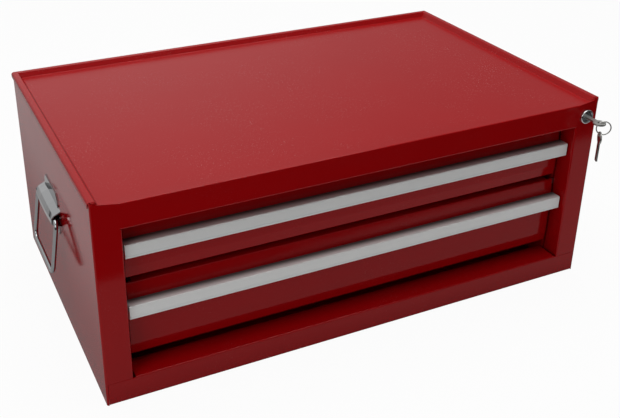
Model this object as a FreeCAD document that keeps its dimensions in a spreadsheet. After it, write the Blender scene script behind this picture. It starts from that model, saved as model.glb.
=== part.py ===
import FreeCAD, Part
import os
import re

import Sketcher

# Top tool chest: a folded sheet case with a tray top, two drawers on ball slides,
# aluminium pulls, a cam lock that drops a lock bar, and a lifting handle on each side.
# X runs to the right, Y to the back, Z up. The origin is the centre of the underside.

doc = FreeCAD.newDocument("top_tool_chest")

# Driving sizes in millimetres and degrees
SIZES = {
    # case
    "width": 660.0,
    "depth": 398.0,
    "height": 258.0,
    "sheet": 1.0,
    "corner_bend": 2.5,
    "jamb_bend": 2.0,
    "fold_bend": 1.3,
    "stile_width": 32.0,
    "jamb_depth": 25.0,
    "header_drop": 30.9,
    "header_return": 12.0,
    "top_lap": 14.0,
    "back_return": 15.0,
    "seam": 0.3,
    "lap_seam": 0.05,
    "ear_drop": 2.7,
    "ear_knee": 4.5,
    # tray
    "rim_height": 6.6,
    "rim_width": 12.5,
    "rim_slope": 4.5,
    "rim_proud": 1.5,
    "rim_back_proud": 4.0,
    "rim_inner_bend": 1.2,
    "rim_outer_bend": 3.0,
    "rim_foot_bend": 0.8,
    "rim_foot": 6.0,
    "rim_notch": 3.0,
    "side_tuck": 3.6,
    "lap_reach": 10.0,
    # bottom
    "rail_height": 29.5,
    "ledge_depth": 33.0,
    "ledge_lip": 8.0,
    "ledge_end_gap": 3.0,
    "rail_foot": 24.0,
    "rail_bend": 1.8,
    "stile_foot_gap": 0.8,
    "pan_flange": 12.0,
    "pan_lap": 15.0,
    # slide posts
    "post_sheet": 1.2,
    "post_width": 34.0,
    "post_flange": 10.0,
    "post_bend": 2.0,
    "post_clear": 1.5,
    "front_post_back": 29.0,
    "rear_post_front": 64.0,
    # drawers
    "top_gap": 4.4,
    "upper_front_height": 70.4,
    "middle_gap": 7.3,
    "bottom_gap": 14.5,
    "face_setback": 21.0,
    "front_side_gap": 5.5,
    "front_sheet": 1.0,
    "front_return": 7.5,
    "front_top_return": 16.0,
    "front_bend": 1.6,
    "kick_back": 2.0,
    "foot_kick_height": 14.0,
    "drawer_sheet": 0.8,
    "drawer_bend": 1.4,
    "side_drop": 9.0,
    "side_hem": 5.0,
    "side_foot": 5.0,
    "front_tab": 14.0,
    "back_flange": 12.0,
    "tub_back_gap": 20.0,
    # ball slides
    "slide_space": 12.7,
    "slide_sheet": 1.2,
    "slide_height": 35.0,
    "slide_lift": 16.7,
    "slide_front_gap": 1.0,
    "slide_back_gap": 18.5,
    "slide_reach": 8.7,
    "middle_reach": 7.0,
    "inner_reach": 8.0,
    "web_gap": 0.5,
    "ball_radius": 1.8,
    "ball_clear": 0.05,
    "middle_short": 20.0,
    "inner_short": 5.0,
    "cage_length": 120.0,
    "cage_inset": 5.0,
    "cage_sheet": 1.2,
    "cage_width": 4.6,
    "cage_pocket": 0.15,
    "rivet_radius": 2.0,
    "rivet_clear": 0.05,
    "rivet_head_radius": 3.2,
    "rivet_head": 1.1,
    "rivet_inset": 25.0,
    # pulls
    "pull_drop": 19.7,
    "pull_height": 17.0,
    "pull_stand": 14.5,
    "pull_overhang": 2.5,
    "pull_wall": 1.4,
    "pull_lip": 13.2,
    "pull_groove": 0.9,
    "pull_groove_depth": 0.5,
    "pull_hook": 3.0,
    "pull_bend": 1.3,
    "pull_flange": 14.0,
    "pull_screw_drop": 8.5,
    "screw_radius": 2.0,
    "screw_clear": 0.1,
    "screw_head_radius": 3.4,
    "screw_head": 1.9,
    "screw_length": 7.0,
    # lock
    "lock_inset": 14.0,
    "lock_drop": 16.7,
    "lock_flange_radius": 9.4,
    "lock_flange": 3.5,
    "lock_flange_round": 1.3,
    "lock_recess": 0.7,
    "lock_recess_radius": 7.4,
    "lock_body_radius": 8.0,
    "lock_body": 21.0,
    "lock_fit": 0.1,
    "nut_flat_radius": 10.0,
    "nut_thick": 4.0,
    "plug_radius": 5.5,
    "plug_clear": 0.05,
    "plug_length": 23.0,
    "boss_side": 6.0,
    "boss_clear": 0.05,
    "cam_thick": 1.4,
    "cam_radius": 5.6,
    "peg_circle": 7.0,
    "peg_radius": 1.4,
    "peg_length": 3.0,
    "peg_play": 0.35,
    "cam_screw_radius": 1.5,
    "cam_screw_head_radius": 4.4,
    "cam_screw_head": 1.0,
    "cam_screw_length": 8.0,
    # lock bar and catches
    "bar_thick": 1.4,
    "bar_gap": 1.2,
    "bar_near": 2.0,
    "bar_width": 9.0,
    "bar_web": 3.2,
    "bar_head_gap": 5.4,
    "bar_tail": 8.0,
    "tab_reach": 6.0,
    "tab_height": 7.9,
    "tab_rise": 1.0,
    "guide_radius": 1.5,
    "guide_clear": 0.15,
    "guide_head_radius": 3.0,
    "guide_head": 1.3,
    "guide_slot_end": 0.3,
    "upper_guide_rise": 8.0,
    "lower_guide_rise": 14.0,
    "catch_sheet": 1.2,
    "catch_height": 8.0,
    "catch_top_gap": 2.0,
    "catch_foot": 20.0,
    "catch_reach": 11.0,
    "catch_gap": 1.5,
    # key, ring and spare key
    "blade_width": 6.4,
    "blade_thick": 2.0,
    "blade_clear": 0.15,
    "blade_length": 15.0,
    "bow_radius": 7.8,
    "bow_centre": 24.5,
    "bow_hole_radius": 2.8,
    "ring_radius": 8.9,
    "ring_wire": 0.75,
    "ring_rise": 6.3,
    "ring_reach": 6.0,
    "ring_turn": 30.0,
    "spare_turn": 20.0,
    "spare_hang": 0.8,
    "spare_hole_out": 4.2,
    "spare_length": 40.0,
    # side handles
    "handle_height": 157.0,
    "bracket_sheet": 1.5,
    "bracket_half_height": 28.0,
    "bracket_half_width": 33.0,
    "bracket_top_half": 27.0,
    "bracket_corner": 7.0,
    "tube_half_length": 42.0,
    "tube_half_height": 11.0,
    "tube_stand": 12.0,
    "tube_facet": 3.0,
    "tube_middle": 16.0,
    "tube_middle_height": 14.0,
    "tube_middle_stand": 13.2,
    "tab_half": 25.0,
    "tab_turn": 6.0,
    "slot_clear": 0.4,
    "bail_radius": 2.75,
    "bail_stand": 7.5,
    "bail_leg": 67.8,
    "bail_half": 49.0,
    "bail_pin_in": 28.0,
    "bail_top_bend": 7.0,
    "bail_foot_bend": 10.0,
    "bail_lean": 8.9,
}

# Places and sizes that follow from the driving ones
WORKED = {
    "side_face": "width / 2",
    "front_face": "-depth / 2",
    "back_face": "depth / 2",
    "floor_top": "height - rim_height",
    "open_half": "side_face - stile_width",
    "open_top": "floor_top - header_drop",
    "head_half": "open_half + jamb_bend",
    "jamb_back": "front_face + jamb_depth",
    "lap_back": "front_face + top_lap",
    "rail_half": "side_face - corner_bend - seam",
    "ledge_half": "open_half - ledge_end_gap",
    "ledge_back": "front_face + ledge_depth",
    "rail_foot_back": "front_face + rail_foot",
    "stile_foot": "rail_height - stile_foot_gap",
    "side_inner": "side_face - sheet",
    "pan_back": "back_face - corner_bend",
    "rim_out": "side_face + rim_proud",
    "rim_in": "rim_out - rim_width",
    "rim_in_top": "rim_in + rim_slope",
    "rim_wall": "sheet * tan(atan(rim_height / rim_slope) / 2)",
    "rim_back_out": "back_face + rim_back_proud",
    "rim_back_in": "rim_back_out - rim_width",
    "rim_start": "front_face + corner_bend",
    "side_top": "height - side_tuck",
    "post_face": "open_half",
    "front_post_y": "front_face + front_post_back",
    "rear_post_y": "back_face - rear_post_front",
    "post_foot": "pan_flange + post_clear",
    "post_top": "floor_top - 2 * sheet - post_clear",
    "drawer_half": "post_face - slide_space",
    "front_half": "open_half - front_side_gap",
    "drawer_face": "front_face + face_setback",
    "kicked_face": "drawer_face + kick_back",
    "tub_front": "drawer_face + front_sheet",
    "tub_start": "tub_front + kick_back + front_bend - front_sheet",
    "tub_back": "back_face - tub_back_gap",
    "upper_top": "open_top - top_gap",
    "upper_bottom": "upper_top - upper_front_height",
    "lower_top": "upper_bottom - middle_gap",
    "lower_bottom": "rail_height + bottom_gap",
    "slide_front": "drawer_face + front_return + slide_front_gap",
    "slide_back": "back_face - slide_back_gap",
    "slide_mid_back": "slide_back - middle_short",
    "slide_inner_back": "slide_back - inner_short",
    "travel": "slide_back - slide_front",
    "slide_half": "slide_height / 2",
    "race": "2 * (ball_radius + ball_clear)",
    "middle_half": "slide_half - slide_sheet - race",
    "inner_half": "middle_half - slide_sheet - race",
    "middle_web": "post_face - slide_sheet - web_gap",
    "lock_x": "open_half + lock_inset",
    "lock_z": "floor_top - lock_drop",
    "cam_front": "front_face + plug_length",
    "cam_back": "cam_front + cam_thick",
    "bar_front": "cam_back + bar_gap",
    "bar_back": "bar_front + bar_thick",
    "bar_left": "open_half + bar_near",
    "bar_right": "bar_left + bar_width",
    "peg_offset": "peg_circle * sqrt(2) / 2",
    "bar_drop": "peg_circle * sqrt(2)",
    "peg_z": "lock_z + peg_offset",
    "notch_half": "peg_radius + peg_play",
    "bar_top": "floor_top - bar_head_gap",
    "catch_front": "bar_back + catch_gap",
    "ring_x": "lock_x + ring_reach * cos(ring_turn)",
    "ring_y": "front_face - bow_centre - ring_reach * sin(ring_turn)",
    "ring_z": "lock_z - ring_rise",
    "spare_back": "ring_radius * sin(spare_turn)",
    "spare_x": "ring_x - spare_back * cos(ring_turn)",
    "spare_y": "ring_y + spare_back * sin(ring_turn)",
    "spare_z": "ring_z - ring_radius * cos(spare_turn) - spare_hang",
    "bracket_top": "handle_height + bracket_half_height",
    "bracket_low": "handle_height - bracket_half_height",
    "bail_x": "side_face + bail_stand",
}
for drawer in ("upper", "lower"):
    WORKED[drawer + "_side_top"] = drawer + "_top - side_drop"
    WORKED[drawer + "_tub_floor"] = drawer + "_bottom + front_sheet"
    WORKED[drawer + "_slide_z"] = drawer + "_bottom + slide_lift"
    WORKED[drawer + "_catch_top"] = drawer + "_side_top - catch_top_gap"
    WORKED[drawer + "_catch_low"] = drawer + "_catch_top - catch_height"
    WORKED[drawer + "_tab_low"] = drawer + "_catch_top + tab_rise"
    WORKED[drawer + "_tab_top"] = drawer + "_tab_low + tab_height"
    WORKED[drawer + "_guide_z"] = drawer + "_tab_top + " + drawer + "_guide_rise"
    WORKED[drawer + "_pull_top"] = drawer + "_top - pull_drop"

sheet = doc.addObject("Spreadsheet::Sheet", "dims")
for line, (alias, number) in enumerate(SIZES.items(), 1):
    sheet.set("A%d" % line, alias)
    sheet.set("B%d" % line, str(number))
    sheet.setAlias("B%d" % line, alias)
doc.recompute()

PIECES = {}


def ex(words):
    """An expression in the names above, spelled out for the sheet."""
    def spell(match):
        word = match.group(0)
        if word in WORKED:
            return "(" + ex(WORKED[word]) + ")"
        if word in SIZES:
            return "dims." + word
        return word
    return re.sub(r"[A-Za-z_]\w*", spell, str(words))


def val(words):
    """The value of an expression, in millimetres."""
    return float(sheet.evalExpression(ex(words)))


def bind(feature, path, words):
    feature.setExpression(path, ex(words))


def keep(name, feature):
    """Names a finished piece; the name is also its file's name."""
    feature.Label = name
    PIECES[name] = feature
    return feature


def box(x, y, z):
    """A block between a low and a high value along each axis."""
    block = doc.addObject("Part::Box", "block")
    for side, axis, (low, high) in zip(("Length", "Width", "Height"), "xyz", (x, y, z)):
        bind(block, side, "(%s) - (%s)" % (high, low))
        bind(block, "Placement.Base." + axis, low)
    return block


TURNS = {
    "x": FreeCAD.Rotation(FreeCAD.Vector(0, 1, 0), 90),
    "y": FreeCAD.Rotation(FreeCAD.Vector(1, 0, 0), -90),
    "z": FreeCAD.Rotation(),
}


def rod(axis, across, radius, start, end):
    """A cylinder along an axis; across holds its two other coordinates, in X, Y, Z order."""
    cylinder = doc.addObject("Part::Cylinder", "rod")
    cylinder.Placement = FreeCAD.Placement(FreeCAD.Vector(), TURNS[axis])
    bind(cylinder, "Radius", radius)
    bind(cylinder, "Height", "(%s) - (%s)" % (end, start))
    places = dict(zip([other for other in "xyz" if other != axis], across))
    places[axis] = start
    for letter, place in places.items():
        bind(cylinder, "Placement.Base." + letter, place)
    return cylinder


def ball(place, radius):
    sphere = doc.addObject("Part::Sphere", "ball")
    bind(sphere, "Radius", radius)
    for letter, words in zip("xyz", place):
        bind(sphere, "Placement.Base." + letter, words)
    return sphere


def fuse(*pieces):
    union = doc.addObject("Part::MultiFuse", "union")
    union.Shapes = list(pieces)
    union.Refine = True
    return union


def cut(base, *tools):
    result = doc.addObject("Part::Cut", "cut")
    result.Base = base
    result.Tool = tools[0] if len(tools) == 1 else fuse(*tools)
    result.Refine = True
    return result


def group(*pieces):
    """Separate solids that share a node."""
    together = doc.addObject("Part::Compound", "group")
    together.Links = list(pieces)
    return together


def mirror(piece, normal=(1, 0, 0)):
    other = doc.addObject("Part::Mirroring", "mirrored")
    other.Source = piece
    other.Normal = FreeCAD.Vector(*normal)
    return other


def body():
    return doc.addObject("PartDesign::Body", "body")


def draw(owner, plane, lift, corners, closed=True):
    """A sketch of straight lines; a corner is (across, up) or (across, up, bend radius)."""
    drawing = owner.newObject("Sketcher::SketchObject", "drawing")
    role = plane + "_Plane"
    origin_plane = [item for item in owner.Origin.OriginFeatures if item.Role == role][0]
    drawing.AttachmentSupport = [(origin_plane, "")]
    drawing.MapMode = "FlatFace"
    # The XZ plane faces the front, so a lift along Y is written the other way round
    bind(drawing, "AttachmentOffset.Base.z", "-(%s)" % lift if plane == "XZ" else lift)
    points = [FreeCAD.Vector(val(corner[0]), val(corner[1]), 0) for corner in corners]
    count = len(points)
    lines = count if closed else count - 1
    for index in range(lines):
        drawing.addGeometry(Part.LineSegment(points[index], points[(index + 1) % count]))
    for index in range(lines if closed else lines - 1):
        joint = Sketcher.Constraint("Coincident", index, 2, (index + 1) % count, 1)
        drawing.addConstraint(joint)
    for index, corner in enumerate(corners):
        line, end = (index, 1) if index < lines else (index - 1, 2)
        for kind, value, words in (("X", points[index].x, corner[0]), ("Y", points[index].y, corner[1])):
            number = drawing.addConstraint(Sketcher.Constraint("Distance" + kind, -1, 1, line, end, value))
            name = "corner%d%s" % (index, kind)
            drawing.renameConstraint(number, name)
            bind(drawing, "Constraints." + name, words)
    for index, corner in enumerate(corners):
        if len(corner) == 3:
            drawing.fillet((index - 1) % count, 2, val(corner[2]), True, True)
            arc = max(i for i, item in enumerate(drawing.Geometry) if isinstance(item, Part.ArcOfCircle))
            number = drawing.addConstraint(Sketcher.Constraint("Radius", arc, val(corner[2])))
            name = "bend%d" % index
            drawing.renameConstraint(number, name)
            bind(drawing, "Constraints." + name, corner[2])
    return drawing


def draw_circle(owner, plane, lift, across, up, radius):
    drawing = draw(owner, plane, lift, [])
    centre = FreeCAD.Vector(val(across), val(up), 0)
    drawing.addGeometry(Part.Circle(centre, FreeCAD.Vector(0, 0, 1), val(radius)))
    rules = (
        ("middle_x", Sketcher.Constraint("DistanceX", -1, 1, 0, 3, val(across)), across),
        ("middle_y", Sketcher.Constraint("DistanceY", -1, 1, 0, 3, val(up)), up),
        ("size", Sketcher.Constraint("Radius", 0, val(radius)), radius),
    )
    for name, rule, words in rules:
        drawing.renameConstraint(drawing.addConstraint(rule), name)
        bind(drawing, "Constraints." + name, words)
    return drawing


def pad(plane, start, end, corners, owner=None):
    """A solid of one outline between two values along the axis square to its plane."""
    owner = owner or body()
    feature = owner.newObject("PartDesign::Pad", "pad")
    feature.Profile = draw(owner, plane, end if plane == "XZ" else start, corners)
    bind(feature, "Length", "(%s) - (%s)" % (end, start))
    return owner


def turned(corners, place):
    """A round solid about a line along Y; a corner is (radius, along, bend radius)."""
    owner = body()
    feature = owner.newObject("PartDesign::Revolution", "turned")
    outline = draw(owner, "XY", "0", corners)
    feature.Profile = outline
    feature.ReferenceAxis = (outline, ["V_Axis"])
    feature.Angle = 360
    for letter, words in zip("xyz", place):
        bind(owner, "Placement.Base." + letter, words)
    return owner


def neg(words):
    return "-(%s)" % words


# Case sheet: header, stiles, jambs and sides
def side_wrap():
    """Right stile, jamb, side and back return, folded from one sheet."""
    wrap = pad("XY", "0", "height", [
        ("open_half", "jamb_back"),
        ("open_half", "front_face", "jamb_bend"),
        ("side_face", "front_face", "corner_bend"),
        ("side_face", "back_face", "corner_bend"),
        ("side_face - back_return", "back_face"),
        ("side_face - back_return", "back_face - sheet"),
        ("side_inner", "back_face - sheet", "corner_bend - sheet"),
        ("side_inner", "front_face + sheet", "corner_bend - sheet"),
        ("open_half + sheet", "front_face + sheet", "jamb_bend - sheet"),
        ("open_half + sheet", "jamb_back"),
    ])
    jamb_head = box(("open_half - sheet", "head_half"), ("front_face - sheet", "jamb_back + sheet"),
                    ("open_top", "height + sheet"))
    foot = box(("open_half - sheet", "side_face - corner_bend"),
               ("front_face - sheet", "jamb_back + sheet"), ("-sheet", "stile_foot"))
    ear = pad("XZ", "front_face - sheet", "front_face + corner_bend", [
        ("head_half", "floor_top"),
        ("side_face - ear_knee", "height - ear_drop"),
        ("side_face", "height"),
        ("side_face + sheet", "height"),
        ("side_face + sheet", "height + rim_height"),
        ("head_half", "height + rim_height"),
    ])
    above = box(("rim_in", "side_face + sheet"), ("front_face + corner_bend", "back_face + sheet"),
                ("side_top", "height + sheet"))
    return_top = box(("side_face - back_return - sheet", "side_face + sheet"),
                     ("back_face - corner_bend", "back_face + sheet"), ("floor_top", "height + sheet"))
    slots = [
        box(("side_inner - sheet", "side_face + sheet"),
            ("-tab_half - slot_clear", "tab_half + slot_clear"),
            (low, "(%s) + bracket_sheet + 2 * slot_clear" % low))
        for low in ("bracket_top - bracket_sheet - slot_clear", "bracket_low - slot_clear")
    ]
    return cut(wrap, jamb_head, foot, ear, above, return_top, *slots)


def case_wrap():
    header = pad("YZ", "-head_half", "head_half", [
        ("front_face + header_return", "open_top"),
        ("front_face", "open_top", "jamb_bend"),
        ("front_face", "floor_top", "fold_bend"),
        ("lap_back", "floor_top"),
        ("lap_back", "floor_top - sheet"),
        ("front_face + sheet", "floor_top - sheet", "fold_bend - sheet"),
        ("front_face + sheet", "open_top + sheet", "jamb_bend - sheet"),
        ("front_face + header_return", "open_top + sheet"),
    ])
    right = side_wrap()
    folded = fuse(header, right, mirror(right))
    lock_hole = rod("y", ("lock_x", "lock_z"), "lock_body_radius + lock_fit",
                    "front_face - sheet", "front_face + 2 * sheet")
    keep("case_wrap", cut(folded, lock_hole))


def top_tray():
    """Tray floor with a hollow rim on the left, back and right."""
    tray = body()
    section = draw(tray, "XZ", "rim_start", [
        ("rim_in - rim_foot", "floor_top"),
        ("rim_in", "floor_top", "rim_foot_bend"),
        ("rim_in_top", "height", "rim_inner_bend"),
        ("rim_out", "height", "rim_outer_bend"),
        ("rim_out", "floor_top"),
        ("rim_out - sheet", "floor_top"),
        ("rim_out - sheet", "height - sheet", "rim_outer_bend - sheet"),
        ("rim_in_top + rim_wall", "height - sheet", "rim_inner_bend - sheet"),
        ("rim_in + rim_wall", "floor_top - sheet", "rim_foot_bend + sheet"),
        ("rim_in - rim_foot", "floor_top - sheet"),
    ])
    path = draw(tray, "XY", "height", [
        ("rim_out", "rim_start"),
        ("rim_out", "rim_back_out"),
        ("-rim_out", "rim_back_out"),
        ("-rim_out", "rim_start"),
    ], closed=False)
    rim = tray.newObject("PartDesign::AdditivePipe", "rim")
    rim.Profile = section
    rim.Spine = (path, [])
    rim.Transition = "Right corner"
    pad("YZ", "-head_half + lap_seam", "head_half - lap_seam", [
        ("lap_back - lap_reach", "floor_top - 2 * sheet"),
        ("lap_back + lap_seam + sheet", "floor_top - 2 * sheet"),
        ("lap_back + lap_seam + sheet", "floor_top - sheet"),
        ("rim_back_in - rim_foot + sheet", "floor_top - sheet"),
        ("rim_back_in - rim_foot + sheet", "floor_top"),
        ("lap_back + lap_seam", "floor_top"),
        ("lap_back + lap_seam", "floor_top - sheet"),
        ("lap_back - lap_reach", "floor_top - sheet"),
    ], tray)
    for sign in ("", "-"):
        pad("XY", "floor_top - sheet", "floor_top", [
            (sign + "(head_half - lap_seam - sheet)", "lap_back + lap_seam + sheet"),
            (sign + "(head_half + lap_seam)", "lap_back + lap_seam + sheet"),
            (sign + "(head_half + lap_seam)", "front_face + sheet"),
            (sign + "rim_in", "front_face + sheet"),
            (sign + "rim_in", "rim_start + rim_foot"),
            (sign + "(rim_in - rim_foot + sheet)", "rim_start + rim_foot"),
            (sign + "(rim_in - rim_foot + sheet)", "rim_back_in - rim_foot + sheet"),
            (sign + "(head_half - lap_seam - sheet)", "rim_back_in - rim_foot + sheet"),
        ], tray)
        pad("XZ", "front_face + sheet", "rim_start + sheet", [
            (sign + "(rim_in + rim_wall / 2)", "floor_top - sheet / 2"),
            (sign + "(rim_in_top + rim_wall / 2)", "height - sheet / 2"),
            (sign + "(side_face - corner_bend)", "height - sheet / 2"),
            (sign + "(side_face - corner_bend)", "floor_top - sheet / 2"),
        ], tray)
    notches = [
        box((low, "(%s) + rim_notch + sheet" % low), ("rim_back_out - rim_notch", "rim_back_out + sheet"),
            ("floor_top - 2 * sheet", "height + sheet"))
        for low in ("rim_out - rim_notch", "-rim_out - sheet")
    ]
    keep("top_tray", cut(tray, *notches))


def back_and_bottom():
    half = "side_face - corner_bend - seam"
    keep("back_panel", box((neg(half), half), ("back_face - 2 * sheet", "back_face - sheet"),
                           ("sheet / 2", "floor_top - sheet - seam")))
    pan = pad("YZ", "-side_inner", "side_inner", [
        ("pan_back", "pan_flange"),
        ("pan_back", "0", "rail_bend"),
        ("rail_foot_back + seam", "0"),
        ("rail_foot_back + seam", "sheet"),
        ("rail_foot_back - pan_lap", "sheet"),
        ("rail_foot_back - pan_lap", "2 * sheet"),
        ("rail_foot_back + seam + sheet", "2 * sheet"),
        ("rail_foot_back + seam + sheet", "sheet"),
        ("pan_back - sheet", "sheet", "rail_bend - sheet"),
        ("pan_back - sheet", "pan_flange"),
    ])
    flange = box(("side_inner - sheet", "side_inner"), ("rail_foot_back + seam", "pan_back - 2 * sheet"),
                 ("sheet / 2", "pan_flange"))
    keep("bottom_panel", fuse(pan, flange, mirror(flange)))

    rail = pad("YZ", "-rail_half", "rail_half", [
        ("ledge_back - sheet", "rail_height - ledge_lip"),
        ("ledge_back - sheet", "rail_height - sheet", "rail_bend - sheet"),
        ("front_face + sheet", "rail_height - sheet", "rail_bend - sheet"),
        ("front_face + sheet", "sheet", "rail_bend - sheet"),
        ("rail_foot_back", "sheet"),
        ("rail_foot_back", "0"),
        ("front_face", "0", "rail_bend"),
        ("front_face", "rail_height", "rail_bend"),
        ("ledge_back", "rail_height", "rail_bend"),
        ("ledge_back", "rail_height - ledge_lip"),
    ])
    top_end = box(("ledge_half", "side_face"), ("front_face - sheet", "ledge_back + sheet"),
                  ("stile_foot - seam", "rail_height + sheet"))
    ledge_end = box(("ledge_half", "side_face"), ("front_face + sheet", "ledge_back + sheet"),
                    ("rail_height - ledge_lip - sheet", "rail_height + sheet"))
    keep("bottom_rail", cut(rail, top_end, ledge_end, mirror(top_end), mirror(ledge_end)))


# Slide posts
def posts():
    for name, front in (("front_post", "front_post_y"), ("rear_post", "rear_post_y")):
        back = "(%s + post_width)" % front
        wall = "side_inner - post_sheet"
        post = pad("XY", "post_foot", "post_top", [
            ("side_inner", front + " - post_flange"),
            (wall, front + " - post_flange"),
            (wall, front),
            ("post_face", front, "post_bend"),
            ("post_face", back, "post_bend"),
            (wall, back),
            (wall, back + " + post_flange"),
            ("side_inner", back + " + post_flange"),
            ("side_inner", back + " - post_sheet"),
            ("post_face + post_sheet", back + " - post_sheet"),
            ("post_face + post_sheet", front + " + post_sheet"),
            ("side_inner", front + " + post_sheet"),
        ])
        holes = [
            rod("x", (place, drawer + "_slide_z"), "rivet_radius + rivet_clear",
                "post_face - sheet", "post_face + 2 * post_sheet")
            for drawer in ("upper", "lower") for place in [front + " + post_width / 2"]
        ]
        right = cut(post, *holes)
        keep(name + "_left", mirror(right))
        if name == "front_post":
            guides = [
                rod("y", ("bar_left + bar_width / 2", drawer + "_guide_z"), "guide_radius + guide_clear",
                    front + " - sheet", front + " + 2 * post_sheet")
                for drawer in ("upper", "lower")
            ]
            right = cut(right, *guides)
        keep(name + "_right", right)


DRAWER_RIVETS = ("slide_front + rivet_inset", "(slide_front + slide_inner_back) / 2",
                 "slide_inner_back - rivet_inset")


# Ball slides: the outer member stays on the posts, the inner one goes with the drawer
def channel(web, lip, half, start, end, height):
    """A folded channel along Y; web and lip are X places, and the lip end is open."""
    inner = "slide_sheet" if val(web) < val(lip) else "-slide_sheet"
    low, high = "%s - (%s)" % (height, half), "%s + %s" % (height, half)
    return pad("XZ", start, end, [
        (web, low, "slide_sheet"),
        (lip, low),
        (lip, low + " + slide_sheet"),
        ("%s + %s" % (web, inner), low + " + slide_sheet"),
        ("%s + %s" % (web, inner), high + " - slide_sheet"),
        (lip, high + " - slide_sheet"),
        (lip, high),
        (web, high, "slide_sheet"),
    ])


def cage(centre_x, race_z, start, height):
    """One slide's upper and lower strip, each with its row of balls."""
    pieces = []
    for sign in ("+", "-"):
        middle = "%s %s (%s)" % (height, sign, race_z)
        strip = box(("%s - cage_width / 2" % centre_x, "%s + cage_width / 2" % centre_x),
                    (start, "%s + cage_length" % start),
                    ("%s - cage_sheet / 2" % middle, "%s + cage_sheet / 2" % middle))
        places = [
            (centre_x, "%s + cage_length * %d / 8" % (start, 2 * step + 1), middle)
            for step in range(4)
        ]
        pieces.append(cut(strip, *[ball(place, "ball_radius + cage_pocket") for place in places]))
        pieces.extend(ball(place, "ball_radius") for place in places)
    return pieces


def slides():
    rivets = []
    for drawer in ("upper", "lower"):
        height = drawer + "_slide_z"
        outer = channel("post_face", "post_face - slide_reach", "slide_half", "slide_front",
                        "slide_back", height)
        places = ["front_post_y + post_width / 2", "rear_post_y + post_width / 2"]
        holes = [
            rod("x", (place, height), "rivet_radius + rivet_clear", "post_face - 2 * slide_sheet",
                "post_face + slide_sheet")
            for place in places
        ]
        outer = cut(outer, *holes)
        keep(drawer + "_outer_slide_right", outer)
        keep(drawer + "_outer_slide_left", mirror(outer))
        for place in places:
            shank = rod("x", (place, height), "rivet_radius", "post_face - slide_sheet",
                        "post_face + post_sheet + rivet_head / 2")
            head = rod("x", (place, height), "rivet_head_radius", "post_face + post_sheet",
                       "post_face + post_sheet + rivet_head")
            rivets.append(fuse(shank, head))

        middle = channel("middle_web", "middle_web - middle_reach", "middle_half",
                         "slide_front + 2 * sheet", "slide_mid_back", height)
        keep(drawer + "_middle_slide_right", middle)
        keep(drawer + "_middle_slide_left", mirror(middle))

        inner = channel("drawer_half", "drawer_half + inner_reach", "inner_half", "slide_front",
                        "slide_inner_back", height)
        places = DRAWER_RIVETS
        hole_list = [
            rod("x", (place, height), "rivet_radius + rivet_clear", "drawer_half - 2 * slide_sheet",
                "drawer_half + 2 * slide_sheet")
            for place in places
        ]
        inner = cut(inner, *hole_list)
        keep(drawer + "_inner_slide_right", inner)
        keep(drawer + "_inner_slide_left", mirror(inner))
        own = []
        for place in places:
            shank = rod("x", (place, height), "rivet_radius", "drawer_half - drawer_sheet - rivet_head / 2",
                        "drawer_half + slide_sheet")
            head = rod("x", (place, height), "rivet_head_radius", "drawer_half - drawer_sheet - rivet_head",
                       "drawer_half - drawer_sheet")
            own.append(fuse(shank, head))
        keep(drawer + "_drawer_rivets", group(*own, *[mirror(rivet) for rivet in own]))

        # A cage stays between its two members at both ends of the travel
        cage_start = "(slide_front + travel / 4 + cage_inset)"
        outer_cage = cage("(post_face - slide_reach / 2)", "middle_half + race / 2",
                          cage_start, height)
        inner_cage = cage("(drawer_half + inner_reach - cage_width / 2)", "inner_half + race / 2",
                          cage_start, height)
        keep(drawer + "_outer_ball_cages", group(*outer_cage, *[mirror(item) for item in outer_cage]))
        keep(drawer + "_inner_ball_cages", group(*inner_cage, *[mirror(item) for item in inner_cage]))
    keep("slide_rivets", group(*rivets, *[mirror(rivet) for rivet in rivets]))


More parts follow.
